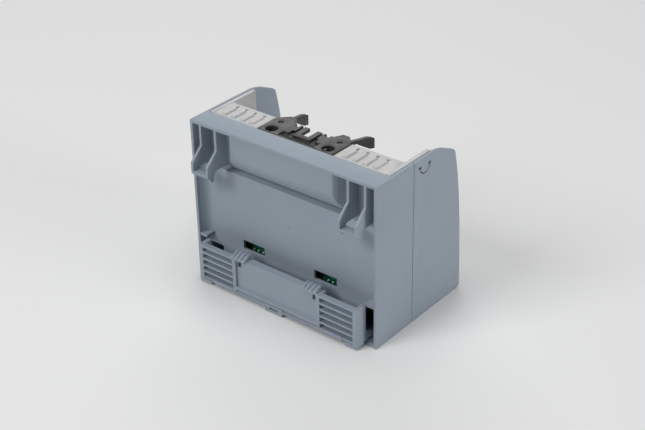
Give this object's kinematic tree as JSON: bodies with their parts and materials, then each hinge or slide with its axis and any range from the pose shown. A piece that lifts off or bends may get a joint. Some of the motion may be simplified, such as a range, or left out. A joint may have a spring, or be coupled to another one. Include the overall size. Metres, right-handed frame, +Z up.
{
  "type": "plc module",
  "caption": "Industrial control module in a blue-grey two-part housing for a DIN rail, with spring terminals, a latched ribbon-cable header and a sliding rail latch.",
  "frame": {"origin": "middle of the footprint on the bottom face, halfway between the housing's front edge and the tips of the rail hooks", "axes": "+Z up as the module hangs on its rail, +Y towards the rail, -Y the front, +X to the left of someone who looks at the rail side"},
  "size_m": [0.0954, 0.0642, 0.0735],
  "materials": {
    "housing": "fine spark texture, blue-grey",
    "terminal_grey": "light grey, satin",
    "header_black": "glass-filled, dull black",
    "chip_black": "moulding compound",
    "contact": "gold plated",
    "steel": "tinned strip",
    "board": "green solder mask",
    "label": "blank white strip",
    "lens": "clear light guide",
    "can": "sleeved capacitor can"
  },
  "bodies": {
    "housing": {"rear_shell": "housing", "front_shell": "housing", "label_strip": "label", "light_guide": "lens", "latch_end_left": "housing", "latch_flexure_left": "housing", "latch_end_right": "housing", "latch_flexure_right": "housing", "header_body": "header_black", "contact_row_lower": "contact", "contact_row_upper": "contact", "terminal_block_left": "terminal_grey", "clamp_cage_left_1": "steel", "clamp_cage_left_2": "steel", "clamp_cage_left_3": "steel", "clamp_cage_left_4": "steel", "terminal_block_right": "terminal_grey", "clamp_cage_right_1": "steel", "clamp_cage_right_2": "steel", "clamp_cage_right_3": "steel", "clamp_cage_right_4": "steel", "main_board": "board", "logic_board": "board", "board_link": "header_black", "controller_chip": "chip_black", "power_converter": "chip_black", "isolator_1": "chip_black", "isolator_2": "chip_black", "isolator_3": "chip_black", "isolator_4": "chip_black", "filter_capacitor_1": "can", "filter_capacitor_2": "can"},
    "latch": {"latch_slider": "housing"},
    "lever_left": {"header_lever_left": "header_black"},
    "lever_right": {"header_lever_right": "header_black"}
  },
  "joints": [
    {"name": "latch_slide", "type": "slide", "parent": "housing", "child": "latch", "axis": [0, 0, -1], "range_m": [0, 0.003], "stiffness_N_per_m": 1500},
    {"name": "lever_left_hinge", "type": "hinge", "parent": "housing", "child": "lever_left", "pos_m": [0.0161, 0.0059, 0.0685], "axis": [0, 0, 1], "range_deg": [0, 25]},
    {"name": "lever_right_hinge", "type": "hinge", "parent": "housing", "child": "lever_right", "pos_m": [-0.0143, 0.0059, 0.0685], "axis": [0, 0, -1], "range_deg": [0, 25]}
  ]
}
